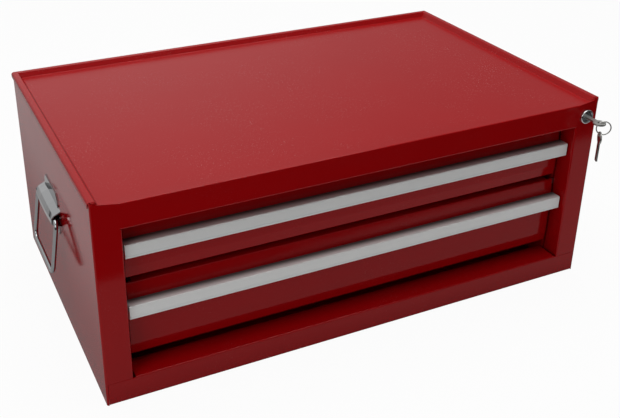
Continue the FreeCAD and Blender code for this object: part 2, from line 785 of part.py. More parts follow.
# Drawers
def drawer_boxes():
    for drawer in ("upper", "lower"):
        top, bottom = drawer + "_top", drawer + "_bottom"
        side_top, tub_floor = drawer + "_side_top", drawer + "_tub_floor"
        height = drawer + "_slide_z"
        pull_top = drawer + "_pull_top"
        foot_kick = bottom + " + foot_kick_height"
        # The face kicks back above the pull and along its foot
        front = pad("YZ", "-front_half", "front_half", [
            ("drawer_face + front_return", bottom),
            ("kicked_face", bottom, "front_bend"),
            ("drawer_face", foot_kick),
            ("drawer_face", pull_top),
            ("kicked_face", top, "front_bend"),
            ("drawer_face + front_top_return", top),
            ("drawer_face + front_top_return", top + " - front_sheet"),
            ("kicked_face + front_sheet", top + " - front_sheet", "front_bend - front_sheet"),
            ("tub_front", pull_top),
            ("tub_front", foot_kick),
            ("kicked_face + front_sheet", bottom + " + front_sheet", "front_bend - front_sheet"),
            ("drawer_face + front_return", bottom + " + front_sheet"),
        ])
        screws_x = ["(drawer_half - back_flange) * %d / 2" % step for step in (-2, -1, 0, 1, 2)]
        screw_z = pull_top + " - pull_screw_drop"
        screw_holes = [
            rod("y", (place, screw_z), "screw_radius + screw_clear", "drawer_face - 2 * pull_wall",
                "tub_front + front_sheet")
            for place in screws_x
        ]
        # The folds stop short of the slides at both ends
        fold_end = box(("drawer_half", "front_half + sheet"),
                       ("kicked_face + front_sheet + front_bend", "drawer_face + front_top_return + sheet"),
                       (bottom + " - sheet", top + " + sheet"))
        keep(drawer + "_drawer_front", cut(front, fold_end, mirror(fold_end), *screw_holes))

        # The floor lies under the sides, whose feet turn in over it
        keep(drawer + "_drawer_floor", box(("-drawer_half", "drawer_half"), ("tub_start", "tub_back"),
                                           (tub_floor, tub_floor + " + drawer_sheet")))

        wall = "drawer_half - drawer_sheet"
        inside = "(%s - seam)" % wall
        side_low = tub_floor + " + drawer_sheet"
        back_front = "tub_back - back_flange"
        side = pad("XZ", "tub_start", "tub_back", [
            ("drawer_half", side_low, "drawer_bend"),
            ("drawer_half", side_top, "drawer_bend"),
            ("drawer_half - side_hem", side_top),
            ("drawer_half - side_hem", side_top + " - drawer_sheet"),
            (wall, side_top + " - drawer_sheet", "drawer_bend - drawer_sheet"),
            (wall, side_low + " + drawer_sheet", "drawer_bend - drawer_sheet"),
            ("drawer_half - side_foot", side_low + " + drawer_sheet"),
            ("drawer_half - side_foot", side_low),
        ])
        # The side reaches the flat of the face and turns in behind it there
        flat = (foot_kick, pull_top)
        cheek = box((wall, "drawer_half"), ("tub_front", "tub_start + drawer_sheet"), flat)
        tab = box((wall + " - front_tab", "drawer_half - drawer_sheet / 2"),
                  ("tub_front", "tub_front + drawer_sheet"), flat)
        foot_end = box(("drawer_half - side_foot - sheet", inside), (back_front, "tub_back + sheet"),
                       (tub_floor, side_low + " + drawer_bend"))
        rivet_holes = [
            rod("x", (place, height), "rivet_radius + rivet_clear", "drawer_half - 2 * drawer_sheet",
                "drawer_half + drawer_sheet")
            for place in DRAWER_RIVETS
        ]
        side = cut(fuse(side, cheek, tab), foot_end, *rivet_holes, *screw_holes)
        keep(drawer + "_drawer_side_right", side)
        keep(drawer + "_drawer_side_left", mirror(side))

        back = pad("XY", side_low, side_top + " - 2 * drawer_sheet", [
            (neg(inside), "tub_back"),
            (neg(inside), back_front, "drawer_bend"),
            (inside, back_front, "drawer_bend"),
            (inside, "tub_back"),
            (inside + " - drawer_sheet", "tub_back"),
            (inside + " - drawer_sheet", back_front + " + drawer_sheet", "drawer_bend - drawer_sheet"),
            (neg("(%s - drawer_sheet)" % inside), back_front + " + drawer_sheet",
             "drawer_bend - drawer_sheet"),
            (neg("(%s - drawer_sheet)" % inside), "tub_back"),
        ])
        keep(drawer + "_drawer_back", back)

        stand = "drawer_face - pull_stand"
        groove = pull_top + " - pull_lip"
        pull = pad("YZ", "-front_half - pull_overhang", "front_half + pull_overhang", [
            ("drawer_face", pull_top),
            (stand, pull_top, "pull_bend"),
            (stand, groove),
            (stand + " + pull_groove_depth", groove),
            (stand + " + pull_groove_depth", groove + " - pull_groove"),
            (stand, groove + " - pull_groove"),
            (stand, pull_top + " - pull_height", "pull_bend"),
            (stand + " + pull_hook", pull_top + " - pull_height"),
            (stand + " + pull_hook", pull_top + " - pull_height + pull_wall"),
            (stand + " + pull_wall", pull_top + " - pull_height + pull_wall"),
            (stand + " + pull_wall", pull_top + " - pull_wall"),
            ("drawer_face - pull_wall", pull_top + " - pull_wall"),
            ("drawer_face - pull_wall", pull_top + " - pull_flange"),
            ("drawer_face", pull_top + " - pull_flange"),
        ])
        keep(drawer + "_pull", cut(pull, *screw_holes))
        screws = []
        for place in screws_x:
            head = rod("y", (place, screw_z), "screw_head_radius",
                       "drawer_face - pull_wall - screw_head", "drawer_face - pull_wall")
            shank = rod("y", (place, screw_z), "screw_radius", "drawer_face - pull_wall - screw_head / 2",
                        "drawer_face - pull_wall + screw_length")
            screws.append(fuse(head, shank))
        keep(drawer + "_pull_screws", group(*screws))

        catch = pad("XY", drawer + "_catch_low", drawer + "_catch_top", [
            ("drawer_half", "catch_front + catch_foot"),
            ("drawer_half", "catch_front"),
            ("drawer_half + catch_reach", "catch_front"),
            ("drawer_half + catch_reach", "catch_front + catch_sheet"),
            ("drawer_half + catch_sheet", "catch_front + catch_sheet"),
            ("drawer_half + catch_sheet", "catch_front + catch_foot"),
        ])
        keep(drawer + "_lock_catch", catch)


# Lock, cam and lock bar
def lock():
    centre = ("lock_x", "front_face", "lock_z")
    keep("lock_housing", turned([
        ("plug_radius + plug_clear", "lock_body"),
        ("lock_body_radius", "lock_body"),
        ("lock_body_radius", "0"),
        ("lock_flange_radius", "0"),
        ("lock_flange_radius", "-lock_flange", "lock_flange_round"),
        ("lock_recess_radius", "-lock_flange"),
        ("lock_recess_radius", "-lock_flange + lock_recess"),
        ("plug_radius + plug_clear", "-lock_flange + lock_recess"),
    ], centre))

    flat = "nut_flat_radius"
    point = "(nut_flat_radius / cos(30))"
    nut = pad("XZ", "front_face + sheet", "front_face + sheet + nut_thick", [
        ("lock_x", "lock_z + " + point),
        ("lock_x - " + flat, "lock_z + %s / 2" % point),
        ("lock_x - " + flat, "lock_z - %s / 2" % point),
        ("lock_x", "lock_z - " + point),
        ("lock_x + " + flat, "lock_z - %s / 2" % point),
        ("lock_x + " + flat, "lock_z + %s / 2" % point),
    ])
    thread = rod("y", ("lock_x", "lock_z"), "lock_body_radius + plug_clear", "front_face",
                 "front_face + 2 * sheet + nut_thick")
    keep("lock_nut", cut(nut, thread))

    plug = rod("y", ("lock_x", "lock_z"), "plug_radius", "front_face - lock_flange + lock_recess",
               "cam_front")
    side = "boss_side / 2"
    boss = box(("lock_x - " + side, "lock_x + " + side), ("cam_front - boss_clear", "cam_back"),
               ("lock_z - " + side, "lock_z + " + side))
    half_width = "(blade_width / 2 + blade_clear)"
    half_thick = "(blade_thick / 2 + blade_clear)"
    keyhole = box(("lock_x - " + half_width, "lock_x + " + half_width),
                  ("front_face - lock_flange - sheet", "front_face + blade_length + sheet"),
                  ("lock_z - " + half_thick, "lock_z + " + half_thick))
    screw_hole = rod("y", ("lock_x", "lock_z"), "cam_screw_radius + plug_clear",
                     "cam_back - cam_screw_length + cam_screw_head - sheet", "cam_back + sheet")
    keep("lock_plug", cut(fuse(plug, boss), keyhole, screw_hole))

    # The cam arm points up and to the left; a quarter turn brings its peg down
    hub = rod("y", ("lock_x", "lock_z"), "cam_radius", "cam_front", "cam_back")
    peg_x = "lock_x - peg_offset"
    arm_end = rod("y", (peg_x, "peg_z"), "2 * peg_radius", "cam_front", "cam_back")
    reach = "(cam_radius * 2 / 3 * sqrt(2) / 2)"
    arm = pad("XZ", "cam_front", "cam_back", [
        ("lock_x - " + reach, "lock_z - " + reach),
        ("lock_x + " + reach, "lock_z + " + reach),
        (peg_x + " + 2 * peg_radius * sqrt(2) / 2", "peg_z + 2 * peg_radius * sqrt(2) / 2"),
        (peg_x + " - 2 * peg_radius * sqrt(2) / 2", "peg_z - 2 * peg_radius * sqrt(2) / 2"),
    ])
    peg = rod("y", (peg_x, "peg_z"), "peg_radius", "cam_front + cam_thick / 2", "cam_back + peg_length")
    hole_side = "(boss_side / 2 + boss_clear)"
    square = box(("lock_x - " + hole_side, "lock_x + " + hole_side),
                 ("cam_front - sheet", "cam_back + sheet"),
                 ("lock_z - " + hole_side, "lock_z + " + hole_side))
    keep("lock_cam", cut(fuse(hub, arm, arm_end, peg), square))

    head = rod("y", ("lock_x", "lock_z"), "cam_screw_head_radius", "cam_back", "cam_back + cam_screw_head")
    shank = rod("y", ("lock_x", "lock_z"), "cam_screw_radius",
                "cam_back + cam_screw_head - cam_screw_length", "cam_back + cam_screw_head / 2")
    keep("cam_screw", fuse(head, shank))

    tab_left = "bar_left + sheet - bar_near - tab_reach"
    bar = pad("XZ", "bar_front", "bar_back", [
        ("bar_left", "lower_tab_low - bar_tail"),
        ("bar_right", "lower_tab_low - bar_tail"),
        ("bar_right", "peg_z - notch_half"),
        ("bar_left + bar_web", "peg_z - notch_half"),
        ("bar_left + bar_web", "peg_z + notch_half"),
        ("bar_right", "peg_z + notch_half"),
        ("bar_right", "bar_top"),
        ("bar_left", "bar_top"),
        ("bar_left", "upper_tab_top"),
        (tab_left, "upper_tab_top"),
        (tab_left, "upper_tab_low"),
        ("bar_left", "upper_tab_low"),
        ("bar_left", "lower_tab_top"),
        (tab_left, "lower_tab_top"),
        (tab_left, "lower_tab_low"),
        ("bar_left", "lower_tab_low"),
    ])
    slots = []
    guides = []
    middle = "bar_left + bar_width / 2"
    for drawer in ("upper", "lower"):
        low = drawer + "_guide_z - guide_slot_end"
        high = drawer + "_guide_z + bar_drop + guide_slot_end"
        radius = "guide_radius + guide_clear"
        slots.append(box((middle + " - (%s)" % radius, middle + " + " + radius),
                         ("bar_front - sheet", "bar_back + sheet"), (low, high)))
        for end in (low, high):
            slots.append(rod("y", (middle, end), radius, "bar_front - sheet", "bar_back + sheet"))
        place = (middle, drawer + "_guide_z")
        guides.append(fuse(
            rod("y", place, "guide_radius", "bar_front - guide_clear - guide_head / 2",
                "front_post_y + post_sheet"),
            rod("y", place, "guide_head_radius", "bar_front - guide_clear - guide_head",
                "bar_front - guide_clear"),
            rod("y", place, "guide_head_radius", "bar_back + guide_clear", "front_post_y"),
        ))
    keep("lock_bar", cut(bar, *slots))
    keep("lock_bar_guides", group(*guides))


# Key in the lock, ring through its bow, spare key on the ring
def keys():
    bow_y = "front_face - bow_centre"
    low, high = "lock_z - blade_thick / 2", "lock_z + blade_thick / 2"
    blade = box(("lock_x - blade_width / 2", "lock_x + blade_width / 2"),
                (bow_y + " + bow_hole_radius", "front_face + blade_length"), (low, high))
    bow = rod("z", ("lock_x", bow_y), "bow_radius", low, high)
    hole = rod("z", ("lock_x", bow_y), "bow_hole_radius", low + " - sheet", high + " + sheet")
    keep("key", cut(fuse(blade, bow), hole))

    ring = doc.addObject("Part::Torus", "ring")
    bind(ring, "Radius1", "ring_radius")
    bind(ring, "Radius2", "ring_wire")
    bind(ring, "Placement", "placement(vector(ring_x; ring_y; ring_z);"
                            " rotation(vector(cos(ring_turn); -sin(ring_turn); 0); 90))")
    keep("key_ring", ring)

    # The spare key hangs low on the ring, under the bow's hole; it is drawn square and then turned
    spare_low, spare_high = "-blade_thick / 2", "blade_thick / 2"
    bow_z = "-spare_hole_out"
    tip = "bow_radius - spare_hole_out - spare_length"
    spare = fuse(
        rod("x", ("0", bow_z), "bow_radius", spare_low, spare_high),
        box((spare_low, spare_high), ("-blade_width / 2", "blade_width / 2"), (tip, bow_z)),
    )
    spare = cut(spare, rod("x", ("0", "0"), "bow_hole_radius", "-blade_thick", "blade_thick"))
    bind(spare, "Placement", "placement(vector(spare_x; spare_y; spare_z);"
                             " rotation(vector(0; 0; 1); -ring_turn))")
    keep("spare_key", spare)


# Side handles
def tube_section(owner, place, half_height, stand, inset):
    """A faceted half tube's outline, open towards the case side."""
    shoulder = "(%s - tube_facet)" % stand
    across = [
        ("side_face - %s" % inset, half_height),
        ("side_face + %s - %s / 2" % (shoulder, inset), "(%s - tube_facet - tube_facet / 2)" % half_height),
        ("side_face + %s - %s" % (stand, inset), "tube_facet"),
    ]
    upper = [(x, "handle_height + %s - %s / 2" % (up, inset)) for x, up in across]
    lower = [(x, "handle_height - %s + %s / 2" % (up, inset)) for x, up in reversed(across)]
    return draw(owner, "XZ", place, upper + lower)


def handles():
    bracket = pad("YZ", "side_face", "side_face + bracket_sheet", [
        ("-bracket_top_half", "bracket_top"),
        ("-bracket_half_width", "bracket_top - bracket_corner"),
        ("-bracket_half_width", "bracket_low + bracket_corner"),
        ("-bracket_top_half", "bracket_low"),
        ("bracket_top_half", "bracket_low"),
        ("bracket_half_width", "bracket_low + bracket_corner"),
        ("bracket_half_width", "bracket_top - bracket_corner"),
        ("bracket_top_half", "bracket_top"),
    ])
    stations = [("-tube_half_length", "tube_half_height", "tube_stand"),
                ("-tube_middle", "tube_middle_height", "tube_middle_stand"),
                ("tube_middle", "tube_middle_height", "tube_middle_stand"),
                ("tube_half_length", "tube_half_height", "tube_stand")]
    for kind, inset in (("PartDesign::AdditiveLoft", "0"), ("PartDesign::SubtractiveLoft", "bracket_sheet")):
        sections = [tube_section(bracket, *station, inset) for station in stations]
        loft = bracket.newObject(kind, "tube")
        loft.Profile = sections[0]
        loft.Sections = sections[1:]
        loft.Ruled = True
    tabs = []
    for low, side in (("bracket_top - bracket_sheet", 1), ("bracket_low", -1)):
        tabs.append(box(("side_inner - bracket_sheet", "side_face + bracket_sheet / 2"),
                        ("-tab_half", "tab_half"), (low, low + " + bracket_sheet")))
        if side > 0:
            turn = (low, low + " + tab_turn")
        else:
            turn = (low + " + bracket_sheet - tab_turn", low + " + bracket_sheet")
        tabs.append(box(("side_inner - bracket_sheet", "side_inner"), ("-tab_half", "tab_half"), turn))
    right = fuse(bracket, *tabs)
    keep("handle_bracket_right", right)
    keep("handle_bracket_left", mirror(right))

    bail = body()
    path = draw(bail, "YZ", "bail_x", [
        ("-bail_pin_in", "handle_height"),
        ("-bail_half", "handle_height", "bail_top_bend"),
        ("-bail_half", "handle_height - bail_leg", "bail_foot_bend"),
        ("bail_half", "handle_height - bail_leg", "bail_foot_bend"),
        ("bail_half", "handle_height", "bail_top_bend"),
        ("bail_pin_in", "handle_height"),
    ], closed=False)
    wire = bail.newObject("PartDesign::AdditivePipe", "wire")
    wire.Profile = draw_circle(bail, "XZ", "-bail_pin_in", "bail_x", "handle_height", "bail_radius")
    wire.Spine = (path, [])
    bind(bail, "Placement", "placement(vector(0; 0; 0); rotation(vector(0; 1; 0); -bail_lean);"
                            " vector(bail_x; 0; handle_height))")
    keep("handle_bail_right", bail)
    keep("handle_bail_left", mirror(bail))


case_wrap()
top_tray()
back_and_bottom()
posts()
slides()
drawer_boxes()
lock()
keys()
handles()
doc.recompute()

for item in doc.Objects:
    if "Invalid" in item.State or "Error" in item.State:
        raise RuntimeError("%s (%s) did not build" % (item.Name, item.Label))
for name, piece in PIECES.items():
    if piece.Shape.isNull() or not piece.Shape.isValid() or not piece.Shape.Solids:
        raise RuntimeError("%s is not a good solid" % name)

os.makedirs("parts", exist_ok=True)
for name, piece in PIECES.items():
    piece.Shape.exportStep(os.path.join("parts", name + ".step"))
    print("%-28s solids %2d  volume %10.1f" % (name, len(piece.Shape.Solids), piece.Shape.Volume))
print(len(PIECES), "nodes")
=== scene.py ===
"""Top tool chest: finishes for the case, drawers, pulls, lock, keys and side handles, and the studio."""

import bmesh
import bpy
from mathutils import Matrix, Vector

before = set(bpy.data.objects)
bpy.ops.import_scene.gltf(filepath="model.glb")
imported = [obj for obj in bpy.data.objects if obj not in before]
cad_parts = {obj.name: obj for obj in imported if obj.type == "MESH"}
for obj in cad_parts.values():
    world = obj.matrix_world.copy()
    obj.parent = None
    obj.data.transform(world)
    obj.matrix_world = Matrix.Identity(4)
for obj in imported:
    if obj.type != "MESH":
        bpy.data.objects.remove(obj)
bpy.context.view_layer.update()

bl_info = {
    "name": "Top Tool Chest",
    "version": (1, 0, 0),
    "blender": (4, 5, 0),
    "location": "3D View > Sidebar > Tool Chest",
    "description": "Finishes and studio for a two-drawer top tool chest",
    "category": "Object",
}

DRAWERS = ("upper", "lower")
DRAWER_SHEETS = ("front", "floor", "side_right", "side_left", "back")

# Finish details: colours are linear, and sizes are in metres
WHITE = (1.0, 1.0, 1.0, 1.0)
DUST = (0.55, 0.42, 0.41, 1.0)
# Colour of the painted shade at the back of the pulls' webs, in the recess against the drawer front
RECESS_SHADE = (0.10, 0.09, 0.09, 1.0)
ZINC_STAIN = (0.86, 0.85, 0.78)
DUST_SPECKS_PER_METRE = 900.0
PAINT_RIPPLE_DEPTH = 0.00004
PLATE_RIPPLE_DEPTH = 0.00003
CRYSTAL_DEPTH = 0.00002
PULL_GRAIN_DEPTH = 0.000012
SLIDE_GRAIN_DEPTH = 0.00001
GRAIN_ROUGHENS = 0.14
# How far behind a pull's front its painted shade starts, and where it is full
RECESS_SHADE_STARTS = 0.001
RECESS_SHADE_FULL = 0.013

# The floor as the gloss shows it. A span is where it starts and ends, and then its strengths if not 0 and 1
NEAR_EDGE_SLANT = 0.0881
NEAR_EDGE = (-0.470, -0.458)
NEAR_STRENGTH = 0.5
BEHIND_CHEST = (-0.23, -0.17)
PALE_LEFT = (-0.41, -0.34, 0.48, 0.26)
DIMMER_INWARDS = (-0.32, -0.1, 1.0, 0.5)
FLOOR_GLOW = 0.95

# The room as the gloss shows it, as spans of the direction looked in
ROOM_TO_BACK = (-0.55, 0.1, 0.35, 0.76)
ROOM_TO_RIGHT = (0.2, 0.62, 1.0, 0.45)
ROOM_UPWARD = (-0.05, 0.2)

FLOOR_HALF = 6.0
FRAME_WIDTH = 36.0


# Settings


class ChestFinish(bpy.types.PropertyGroup):
    enamel: bpy.props.FloatVectorProperty(
        name="Enamel", description="Colour of the red enamel", subtype="COLOR", size=3, min=0, max=1,
        default=(0.37, 0.0015, 0.003))
    enamel_roughness: bpy.props.FloatProperty(
        name="Enamel roughness", description="Blur of the enamel's gloss", default=0.09, min=0, max=1)
    pull_metal: bpy.props.FloatVectorProperty(
        name="Pull metal", description="Colour of the aluminium pulls", subtype="COLOR", size=3,
        min=0, max=1, default=(0.95, 0.96, 0.95))
    zinc: bpy.props.FloatVectorProperty(
        name="Zinc", description="Colour of the zinc-plated slides and fasteners", subtype="COLOR", size=3,
        min=0, max=1, default=(0.50, 0.51, 0.53))
    chrome: bpy.props.FloatVectorProperty(
        name="Chrome", description="Colour of the chrome plate", subtype="COLOR", size=3, min=0, max=1,
        default=(0.72, 0.73, 0.74))
    nickel: bpy.props.FloatVectorProperty(
        name="Nickel", description="Colour of the keys and their ring", subtype="COLOR", size=3,
        min=0, max=1, default=(0.50, 0.50, 0.48))


class ChestStudio(bpy.types.PropertyGroup):
    eye: bpy.props.FloatVectorProperty(
        name="Camera place", description="Where the camera stands", subtype="TRANSLATION", unit="LENGTH",
        default=(-0.5038, -1.00917, 0.71326))
    right: bpy.props.FloatVectorProperty(
        name="Camera right", description="Direction of the picture's right side", subtype="DIRECTION",
        default=(0.9070981, -0.4209180, 0.0010220))
    forward: bpy.props.FloatVectorProperty(
        name="Camera aim", description="Direction that the camera looks in", subtype="DIRECTION",
        default=(0.3816084, 0.8213546, -0.4239713))
    lens: bpy.props.FloatProperty(
        name="Lens", description="Focal length on a 36 mm wide frame, in millimetres", default=53.832)
    shift_x: bpy.props.FloatProperty(name="Shift X", description="Sideways lens shift", default=0.06027)
    shift_y: bpy.props.FloatProperty(name="Shift Y", description="Upward lens shift", default=-0.12006)
    top_light: bpy.props.FloatProperty(
        name="Top light", description="Strength of the soft light overhead", default=42.0, unit="POWER")
    left_light: bpy.props.FloatProperty(
        name="Left light", description="Strength of the soft light at the front left", default=2.2,
        unit="POWER")
    fill: bpy.props.FloatProperty(
        name="Fill", description="Strength of the even light from all round", default=0.14, min=0)


# Node helpers


class Graph:
    """Short words for the nodes of one material, group or world."""

    def __init__(self, tree):
        self.tree = tree

    def node(self, kind, **settings):
        node = self.tree.nodes.new(kind)
        for name, value in settings.items():
            setattr(node, name, value)
        return node

    def put(self, node, **values):
        for name, value in values.items():
            socket = node.inputs[name.replace("_", " ")]
            if isinstance(value, bpy.types.NodeSocket):
                self.tree.links.new(value, socket)
            else:
                socket.default_value = value
        return node

    def link(self, source, target):
        self.tree.links.new(source, target)

    def math(self, operation, *values):
        node = self.node("ShaderNodeMath", operation=operation)
        for index, value in enumerate(values):
            if isinstance(value, bpy.types.NodeSocket):
                self.link(value, node.inputs[index])
            else:
                node.inputs[index].default_value = value
        return node.outputs[0]

    def noise(self, vector, scale, detail=2.0, roughness=0.5):
        node = self.node("ShaderNodeTexNoise")
        self.put(node, Vector=vector, Scale=scale, Detail=detail, Roughness=roughness)
        return node.outputs["Fac"]

    def span(self, value, low, high, to_low=0.0, to_high=1.0):
        node = self.node("ShaderNodeMapRange", interpolation_type="SMOOTHSTEP")
        self.put(node, Value=value, From_Min=low, From_Max=high, To_Min=to_low, To_Max=to_high)
        return node.outputs["Result"]

    def stretch(self, vector, scale):
        node = self.node("ShaderNodeMapping")
        self.put(node, Vector=vector, Scale=scale)
        return node.outputs["Vector"]

    def axes(self, vector):
        node = self.node("ShaderNodeSeparateXYZ")
        self.put(node, Vector=vector)
        return node.outputs

    def scaled(self, value, factor, base):
        """The value times the factor, plus the base."""
        grown = self.math("MULTIPLY", value, factor)
        return self.math("ADD", grown, base)

    def mix(self, mask, first, second):
        node = self.node("ShaderNodeMix", data_type="RGBA")
        for socket, value in ((node.inputs[0], mask), (node.inputs[6], first), (node.inputs[7], second)):
            if isinstance(value, bpy.types.NodeSocket):
                self.link(value, socket)
            else:
                socket.default_value = value
        return node.outputs[2]

    def blend(self, mask, first, second):
        """The first shader where the mask is 0, and the second where it is 1."""
        node = self.node("ShaderNodeMixShader")
        self.put(node, Fac=mask)
        self.link(first, node.inputs[1])
        self.link(second, node.inputs[2])
        return node.outputs[0]


def effect(name, inputs, outputs):
    """A new shader group. Inputs are (name, socket type, default), and outputs are (name, socket type)."""
    group = bpy.data.node_groups.new(name, "ShaderNodeTree")
    for label, kind, default in inputs:
        socket = group.interface.new_socket(name=label, in_out="INPUT", socket_type=kind)
        if default is not None:
            socket.default_value = default
    for label, kind in outputs:
        group.interface.new_socket(name=label, in_out="OUTPUT", socket_type=kind)
    return Graph(group), group.nodes.new("NodeGroupInput").outputs, group.nodes.new("NodeGroupOutput").inputs


def make_effects():
    number, vector = "NodeSocketFloat", "NodeSocketVector"

    g, given, result = effect(
        "Sprayed film",
        [("Place", vector, None), ("Ripple size", number, 90.0), ("Ripple depth", number, 1.0)],
        [("Height", number), ("Cloud", number)])
    ripple = g.noise(given["Place"], given["Ripple size"], detail=1.0)
    slow = g.noise(given["Place"], 9.0, detail=1.0)
    both = g.math("ADD", ripple, g.math("MULTIPLY", slow, 2.0))
    g.link(g.math("MULTIPLY", both, given["Ripple depth"]), result["Height"])
    g.link(slow, result["Cloud"])

    g, given, result = effect(
        "Handling marks", [("Place", vector, None), ("Dust", number, 0.5), ("Smears", number, 0.5)],
        [("Dust", number), ("Smears", number)])
    specks = g.span(g.noise(given["Place"], DUST_SPECKS_PER_METRE), low=0.66, high=0.74)
    patches = g.span(g.noise(given["Place"], 14.0, detail=3.0), low=0.35, high=0.7)
    g.link(g.math("MULTIPLY", g.math("MULTIPLY", specks, patches), given["Dust"]), result["Dust"])
    wiped = g.noise(g.stretch(given["Place"], (6.0, 22.0, 22.0)), 1.6, detail=3.0, roughness=0.6)
    wiped = g.span(wiped, low=0.45, high=0.8)
    g.link(g.math("MULTIPLY", wiped, given["Smears"]), result["Smears"])

    g, given, result = effect(
        "Drawn grain",
        [("Place", vector, None), ("Stretch", vector, (1.0, 60.0, 60.0)), ("Fineness", number, 40.0)],
        [("Streaks", number), ("Blotches", number)])
    drawn_out = g.node("ShaderNodeVectorMath", operation="MULTIPLY")
    g.link(given["Place"], drawn_out.inputs[0])
    g.link(given["Stretch"], drawn_out.inputs[1])
    streaks = g.noise(drawn_out.outputs[0], given["Fineness"], detail=4.0, roughness=0.6)
    g.link(streaks, result["Streaks"])
    g.link(g.noise(given["Place"], 35.0, detail=3.0), result["Blotches"])

    g, given, result = effect(
        "Zinc crystals", [("Place", vector, None), ("Crystal size", number, 450.0)],
        [("Crystals", number), ("Stain", number)])
    cells = g.node("ShaderNodeTexVoronoi")
    g.put(cells, Vector=given["Place"], Scale=given["Crystal size"])
    g.link(cells.outputs["Distance"], result["Crystals"])
    stain = g.span(g.noise(given["Place"], 22.0, detail=4.0), low=0.4, high=0.75)
    g.link(stain, result["Stain"])


def use(g, name, place, **values):
    node = g.node("ShaderNodeGroup", node_tree=bpy.data.node_groups[name])
    g.put(node, Place=place, **values)
    return node.outputs


def empty(block):
    """Turns on the nodes of a material or world, and clears them."""
    block.use_nodes = True
    block.node_tree.nodes.clear()
    return Graph(block.node_tree)


def start(name):
    """An empty material with its surface shader and its place on the piece."""
    material = bpy.data.materials.new(name)
    g = empty(material)
    shader = g.node("ShaderNodeBsdfPrincipled")
    out = g.node("ShaderNodeOutputMaterial")
    g.link(shader.outputs[0], out.inputs["Surface"])
    place = g.node("ShaderNodeTexCoord").outputs["Object"]
    return material, g, shader, place


def shade(colour, part=1.0):
    return (*[channel * part for channel in colour], 1.0)


def bump(g, shader, height, distance):
    node = g.node("ShaderNodeBump")
    g.put(node, Strength=1.0, Distance=distance, Height=height)
    g.link(node.outputs["Normal"], shader.inputs["Normal"])


def enamel(name, colour, roughness, dust, ripple, smears=0.05):
    """Sprayed red enamel with specks of dust and wiped smears."""
    material, g, shader, place = start(name)
    film = use(g, "Sprayed film", place, Ripple_size=110.0, Ripple_depth=ripple)
    marks = use(g, "Handling marks", place, Dust=dust, Smears=smears)
    base = g.mix(film["Cloud"], shade(colour, 0.93), shade(colour))
    base = g.mix(marks["Dust"], base, DUST)
    g.put(shader, Base_Color=base, Roughness=g.math("ADD", marks["Smears"], roughness))
    g.put(shader, IOR=1.5, Specular_IOR_Level=0.2)
    bump(g, shader, film["Height"], PAINT_RIPPLE_DEPTH)
    return material


def drawn_metal(name, colour, roughness, stretch, fineness):
    """Drawn or rolled metal, with grain along the piece."""
    material, g, shader, place = start(name)
    grain = use(g, "Drawn grain", place, Stretch=stretch, Fineness=fineness)
    base = g.mix(grain["Streaks"], shade(colour, 0.9), shade(colour))
    rough = g.scaled(grain["Streaks"], GRAIN_ROUGHENS, roughness - GRAIN_ROUGHENS / 2)
    rough = g.math("ADD", rough, g.math("MULTIPLY", grain["Blotches"], 0.06))
    g.put(shader, Base_Color=base, Roughness=rough, Metallic=1.0)
    bump(g, shader, grain["Streaks"], SLIDE_GRAIN_DEPTH)
    return material


def pull_metal(name, colour, front):
    """Satin aluminium with painted shade darkening the back of the pull's web, towards the drawer front;
    front is the Y of its front.
    """
    material, g, shader, place = start(name)
    grain = use(g, "Drawn grain", place, Stretch=(1.0, 60.0, 60.0), Fineness=30.0)
    clean = g.mix(grain["Streaks"], shade(colour, 0.92), shade(colour))
    # Painted shade: the web darkens from just behind the pull's front to full near the drawer front
    recess_shade = g.span(g.axes(place)["Y"], front + RECESS_SHADE_STARTS, front + RECESS_SHADE_FULL)
    rough = g.scaled(grain["Streaks"], GRAIN_ROUGHENS, 0.36)
    g.put(shader, Base_Color=g.mix(recess_shade, clean, RECESS_SHADE), Roughness=rough, Metallic=0.2)
    bump(g, shader, grain["Streaks"], PULL_GRAIN_DEPTH)
    return material


def zinc_plate(name, colour, roughness):
    """Zinc plate with fine crystals and a faint yellow stain."""
    material, g, shader, place = start(name)
    plate = use(g, "Zinc crystals", place, Crystal_size=420.0)
    stained = (*[channel * part for channel, part in zip(colour, ZINC_STAIN)], 1.0)
    base = g.mix(plate["Crystals"], shade(colour), shade(colour, 0.78))
    base = g.mix(plate["Stain"], base, stained)
    g.put(shader, Base_Color=base, Roughness=g.scaled(plate["Stain"], 0.12, roughness), Metallic=1.0)
    bump(g, shader, plate["Crystals"], CRYSTAL_DEPTH)
    return material


def bright_plate(name, colour, roughness, wear):
    """Polished plate, duller where it is wiped and worn."""
    material, g, shader, place = start(name)
    marks = use(g, "Handling marks", place, Dust=0.1, Smears=wear)
    film = use(g, "Sprayed film", place, Ripple_size=160.0, Ripple_depth=0.5)
    base = g.mix(marks["Smears"], shade(colour), shade(colour, 0.8))
    g.put(shader, Base_Color=base, Roughness=g.math("ADD", marks["Smears"], roughness), Metallic=1.0)
    bump(g, shader, film["Height"], PLATE_RIPPLE_DEPTH)
    return material


def dress(material, *names):
    for name in names:
        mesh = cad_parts[name].data
        mesh.materials.clear()
        mesh.materials.append(material)


# Operators


class CHEST_OT_effects(bpy.types.Operator):
    """Builds the shared paint, grain and plating effects"""
    bl_idname = "chest.effects"
    bl_label = "Shared effects"

    def execute(self, context):
        make_effects()
        return {"FINISHED"}


class CHEST_OT_case(bpy.types.Operator):
    """Red enamel for the case, tray, back, bottom, rail and posts"""
    bl_idname = "chest.case"
    bl_label = "Case enamel"

    def execute(self, context):
        finish = context.scene.chest_finish
        red = enamel("Case enamel", finish.enamel, finish.enamel_roughness, dust=0.25, ripple=1.0)
        dress(red, "case_wrap", "back_panel", "bottom_panel", "bottom_rail", "front_post_left",
              "front_post_right", "rear_post_left", "rear_post_right")
        worn_roughness = finish.enamel_roughness + 0.16
        tray = enamel("Tray enamel", finish.enamel, worn_roughness, dust=0.6, ripple=0.4, smears=0.01)
        dress(tray, "top_tray")
        return {"FINISHED"}


